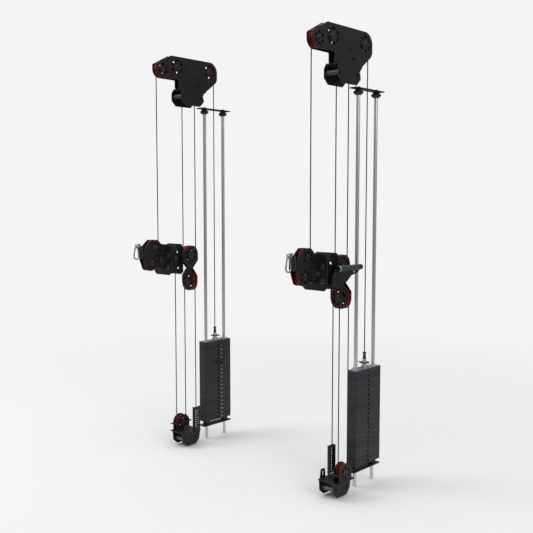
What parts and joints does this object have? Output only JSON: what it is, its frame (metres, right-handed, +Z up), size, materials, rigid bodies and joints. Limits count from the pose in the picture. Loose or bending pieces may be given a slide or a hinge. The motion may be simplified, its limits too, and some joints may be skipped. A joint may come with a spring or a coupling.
{
  "type": "dual weight stack pulley system",
  "caption": "Pair of guided weight stacks with top and bottom pulleys, floating pulley blocks, sliding trolleys with swivel arms and snap hooks, made to bolt onto a strength rack.",
  "frame": {"origin": "on the floor, midway between the towers and between the foremost carabiner and the rear ends of the top bars", "axes": "+X from the left tower to the right one, the user stands at -Y and faces +Y, +Z up"},
  "size_m": [1.352, 0.7424, 2.343],
  "materials": {
    "black_powder_coat": "satin powder coat",
    "pulley_red": "red anodised",
    "stack_plate": "matt black",
    "rod_steel": "drawn",
    "zinc_steel": "zinc plated",
    "cable": "coated steel cable",
    "stopper_rubber": "moulded",
    "pad_plastic": "machined"
  },
  "bodies": {
    "rack_frame": {"housing_plates": "black_powder_coat", "housing_hardware": "zinc_steel", "top_saddles": "black_powder_coat", "bottom_brackets": "black_powder_coat", "guide_rods": "rod_steel", "rod_bars": "black_powder_coat", "resting_plates": "stack_plate", "fixed_cables": "cable", "front_run_right": "cable", "float_upper_runs_right": "cable", "float_lower_runs_right": "cable", "tail_run_right": "cable", "stack_run_right": "cable", "front_run_left": "cable", "float_upper_runs_left": "cable", "float_lower_runs_left": "cable", "tail_run_left": "cable", "stack_run_left": "cable"},
    "trolley_right": {"trolley_frame_right": "black_powder_coat", "trolley_pads_right": "pad_plastic"},
    "lock_pin_right": {"lock_pin_right": "zinc_steel"},
    "swivel_arm_right": {"arm_frame_right": "black_powder_coat", "cable_end_right": "stopper_rubber"},
    "arm_pulley_upper_right": {"arm_pulley_upper_right": "pulley_red"},
    "arm_pulley_lower_right": {"arm_pulley_lower_right": "pulley_red"},
    "carabiner_right": {"carabiner_right": "zinc_steel"},
    "carabiner_gate_right": {"carabiner_gate_right": "zinc_steel"},
    "float_right": {"float_frame_right": "black_powder_coat", "float_cable_right": "cable"},
    "float_pulley_upper_right": {"float_pulley_upper_right": "pulley_red"},
    "float_pulley_lower_right": {"float_pulley_lower_right": "pulley_red"},
    "nose_pulley_right": {"nose_pulley_right": "pulley_red"},
    "middle_pulley_right": {"middle_pulley_right": "pulley_red"},
    "rear_pulley_right": {"rear_pulley_right": "pulley_red"},
    "bottom_pulley_right": {"bottom_pulley_right": "pulley_red"},
    "lifted_stack_right": {"lifted_plates_right": "stack_plate", "stack_stem_right": "zinc_steel", "pin_lanyard_right": "cable"},
    "selector_pin_right": {"selector_pin_right": "zinc_steel"},
    "trolley_left": {"trolley_frame_left": "black_powder_coat", "trolley_pads_left": "pad_plastic"},
    "lock_pin_left": {"lock_pin_left": "zinc_steel"},
    "swivel_arm_left": {"arm_frame_left": "black_powder_coat", "cable_end_left": "stopper_rubber"},
    "arm_pulley_upper_left": {"arm_pulley_upper_left": "pulley_red"},
    "arm_pulley_lower_left": {"arm_pulley_lower_left": "pulley_red"},
    "carabiner_left": {"carabiner_left": "zinc_steel"},
    "carabiner_gate_left": {"carabiner_gate_left": "zinc_steel"},
    "float_left": {"float_frame_left": "black_powder_coat", "float_cable_left": "cable"},
    "float_pulley_upper_left": {"float_pulley_upper_left": "pulley_red"},
    "float_pulley_lower_left": {"float_pulley_lower_left": "pulley_red"},
    "nose_pulley_left": {"nose_pulley_left": "pulley_red"},
    "middle_pulley_left": {"middle_pulley_left": "pulley_red"},
    "rear_pulley_left": {"rear_pulley_left": "pulley_red"},
    "bottom_pulley_left": {"bottom_pulley_left": "pulley_red"},
    "lifted_stack_left": {"lifted_plates_left": "stack_plate", "stack_stem_left": "zinc_steel", "pin_lanyard_left": "cable"},
    "selector_pin_left": {"selector_pin_left": "zinc_steel"}
  },
  "joints": [
    {"name": "trolley_slide_right", "type": "slide", "parent": "rack_frame", "child": "trolley_right", "axis": [0, 0, 1], "range_m": [-0.8, 0.8], "deforming": ["front_run_right", "tail_run_right"]},
    {"name": "float_slide_right", "type": "slide", "parent": "rack_frame", "child": "float_right", "axis": [0, 0, 1], "range_m": [-0.401, 0.401], "deforming": ["float_upper_runs_right", "float_lower_runs_right"]},
    {"name": "stack_lift_right", "type": "slide", "parent": "rack_frame", "child": "lifted_stack_right", "axis": [0, 0, 1], "range_m": [0, 1.25], "deforming": ["stack_run_right"]},
    {"name": "arm_swivel_right", "type": "hinge", "parent": "trolley_right", "child": "swivel_arm_right", "pos_m": [0.584, -0.1942, 1.149], "axis": [0, 0, 1], "range_deg": [-80, 80]},
    {"name": "lock_pin_pull_right", "type": "slide", "parent": "trolley_right", "child": "lock_pin_right", "axis": [-1, 0, 0], "range_m": [0, 0.012], "stiffness_N_per_m": 900, "springref_m": -0.006},
    {"name": "carabiner_swing_right", "type": "hinge", "parent": "swivel_arm_right", "child": "carabiner_right", "pos_m": [0.584, -0.3502, 1.239], "axis": [0, 1, 0], "range_deg": [-75, 75]},
    {"name": "gate_open_right", "type": "hinge", "parent": "carabiner_right", "child": "carabiner_gate_right", "pos_m": [0.584, -0.36538, 1.19582], "axis": [-1, 0, 0], "range_deg": [0, 22], "stiffness_Nm_per_rad": 0.15, "springref_deg": -8.59},
    {"name": "selector_pull_right", "type": "slide", "parent": "lifted_stack_right", "child": "selector_pin_right", "axis": [-1, 0, 0], "range_m": [0, 0.06]},
    {"name": "rear_pulley_turn_right", "type": "hinge", "parent": "rack_frame", "child": "rear_pulley_right", "pos_m": [0.584, 0.201, 2.283], "axis": [1, 0, 0], "range_deg": [-1, 1470]},
    {"name": "middle_pulley_turn_right", "type": "hinge", "parent": "rack_frame", "child": "middle_pulley_right", "pos_m": [0.584, -0.0532, 2.283], "axis": [1, 0, 0], "range_deg": [-1, 1470]},
    {"name": "nose_pulley_turn_right", "type": "hinge", "parent": "rack_frame", "child": "nose_pulley_right", "pos_m": [0.584, -0.1577, 2.258], "axis": [1, 0, 0], "range_deg": [-1, 1970]},
    {"name": "float_upper_turn_right", "type": "hinge", "parent": "float_right", "child": "float_pulley_upper_right", "pos_m": [0.584, 0.0448, 1.174], "axis": [1, 0, 0], "range_deg": [-1470, 1]},
    {"name": "arm_upper_turn_right", "type": "hinge", "parent": "swivel_arm_right", "child": "arm_pulley_upper_right", "pos_m": [0.584, -0.2307, 1.23], "axis": [1, 0, 0], "range_deg": [-1970, 1]},
    {"name": "arm_lower_turn_right", "type": "hinge", "parent": "swivel_arm_right", "child": "arm_pulley_lower_right", "pos_m": [0.584, -0.2527, 1.14], "axis": [1, 0, 0], "continuous": true},
    {"name": "bottom_pulley_turn_right", "type": "hinge", "parent": "rack_frame", "child": "bottom_pulley_right", "pos_m": [0.633, 0.0083, 0.134], "axis": [1, 0, 0], "range_deg": [-1260, 1260]},
    {"name": "float_lower_turn_right", "type": "hinge", "parent": "float_right", "child": "float_pulley_lower_right", "pos_m": [0.584, 0.0448, 1.014], "axis": [0, 1, 0], "range_deg": [-470, 470]},
    {"name": "trolley_slide_left", "type": "slide", "parent": "rack_frame", "child": "trolley_left", "axis": [0, 0, 1], "range_m": [-0.8, 0.8], "deforming": ["front_run_left", "tail_run_left"]},
    {"name": "float_slide_left", "type": "slide", "parent": "rack_frame", "child": "float_left", "axis": [0, 0, 1], "range_m": [-0.401, 0.401], "deforming": ["float_upper_runs_left", "float_lower_runs_left"]},
    {"name": "stack_lift_left", "type": "slide", "parent": "rack_frame", "child": "lifted_stack_left", "axis": [0, 0, 1], "range_m": [0, 1.25], "deforming": ["stack_run_left"]},
    {"name": "arm_swivel_left", "type": "hinge", "parent": "trolley_left", "child": "swivel_arm_left", "pos_m": [-0.584, -0.1942, 1.149], "axis": [0, 0, 1], "range_deg": [-80, 80]},
    {"name": "lock_pin_pull_left", "type": "slide", "parent": "trolley_left", "child": "lock_pin_left", "axis": [1, 0, 0], "range_m": [0, 0.012], "stiffness_N_per_m": 900, "springref_m": -0.006},
    {"name": "carabiner_swing_left", "type": "hinge", "parent": "swivel_arm_left", "child": "carabiner_left", "pos_m": [-0.584, -0.3502, 1.239], "axis": [0, 1, 0], "range_deg": [-75, 75]},
    {"name": "gate_open_left", "type": "hinge", "parent": "carabiner_left", "child": "carabiner_gate_left", "pos_m": [-0.584, -0.36538, 1.19582], "axis": [-1, 0, 0], "range_deg": [0, 22], "stiffness_Nm_per_rad": 0.15, "springref_deg": -8.59},
    {"name": "selector_pull_left", "type": "slide", "parent": "lifted_stack_left", "child": "selector_pin_left", "axis": [1, 0, 0], "range_m": [0, 0.06]},
    {"name": "rear_pulley_turn_left", "type": "hinge", "parent": "rack_frame", "child": "rear_pulley_left", "pos_m": [-0.584, 0.201, 2.283], "axis": [1, 0, 0], "range_deg": [-1, 1470]},
    {"name": "middle_pulley_turn_left", "type": "hinge", "parent": "rack_frame", "child": "middle_pulley_left", "pos_m": [-0.584, -0.0532, 2.283], "axis": [1, 0, 0], "range_deg": [-1, 1470]},
    {"name": "nose_pulley_turn_left", "type": "hinge", "parent": "rack_frame", "child": "nose_pulley_left", "pos_m": [-0.584, -0.1577, 2.258], "axis": [1, 0, 0], "range_deg": [-1, 1970]},
    {"name": "float_upper_turn_left", "type": "hinge", "parent": "float_left", "child": "float_pulley_upper_left", "pos_m": [-0.584, 0.0448, 1.174], "axis": [1, 0, 0], "range_deg": [-1470, 1]},
    {"name": "arm_upper_turn_left", "type": "hinge", "parent": "swivel_arm_left", "child": "arm_pulley_upper_left", "pos_m": [-0.584, -0.2307, 1.23], "axis": [1, 0, 0], "range_deg": [-1970, 1]},
    {"name": "arm_lower_turn_left", "type": "hinge", "parent": "swivel_arm_left", "child": "arm_pulley_lower_left", "pos_m": [-0.584, -0.2527, 1.14], "axis": [1, 0, 0], "continuous": true},
    {"name": "bottom_pulley_turn_left", "type": "hinge", "parent": "rack_frame", "child": "bottom_pulley_left", "pos_m": [-0.633, 0.0083, 0.134], "axis": [1, 0, 0], "range_deg": [-1260, 1260]},
    {"name": "float_lower_turn_left", "type": "hinge", "parent": "float_left", "child": "float_pulley_lower_left", "pos_m": [-0.584, 0.0448, 1.014], "axis": [0, 1, 0], "range_deg": [-470, 470]}
  ],
  "couplings": [
    {"joint": "float_slide_right", "follows": "trolley_slide_right", "ratio": -0.5},
    {"joint": "rear_pulley_turn_right", "follows": "stack_lift_right", "rad_per_m": 20.408},
    {"joint": "middle_pulley_turn_right", "follows": "stack_lift_right", "rad_per_m": 20.408},
    {"joint": "nose_pulley_turn_right", "follows": "stack_lift_right", "rad_per_m": 27.397},
    {"joint": "float_upper_turn_right", "follows": "stack_lift_right", "rad_per_m": -20.408},
    {"joint": "arm_upper_turn_right", "follows": "stack_lift_right", "rad_per_m": -27.397},
    {"joint": "bottom_pulley_turn_right", "follows": "trolley_slide_right", "rad_per_m": -27.397},
    {"joint": "float_lower_turn_right", "follows": "trolley_slide_right", "rad_per_m": 10.204},
    {"joint": "float_slide_left", "follows": "trolley_slide_left", "ratio": -0.5},
    {"joint": "rear_pulley_turn_left", "follows": "stack_lift_left", "rad_per_m": 20.408},
    {"joint": "middle_pulley_turn_left", "follows": "stack_lift_left", "rad_per_m": 20.408},
    {"joint": "nose_pulley_turn_left", "follows": "stack_lift_left", "rad_per_m": 27.397},
    {"joint": "float_upper_turn_left", "follows": "stack_lift_left", "rad_per_m": -20.408},
    {"joint": "arm_upper_turn_left", "follows": "stack_lift_left", "rad_per_m": -27.397},
    {"joint": "bottom_pulley_turn_left", "follows": "trolley_slide_left", "rad_per_m": -27.397},
    {"joint": "float_lower_turn_left", "follows": "trolley_slide_left", "rad_per_m": -10.204}
  ]
}
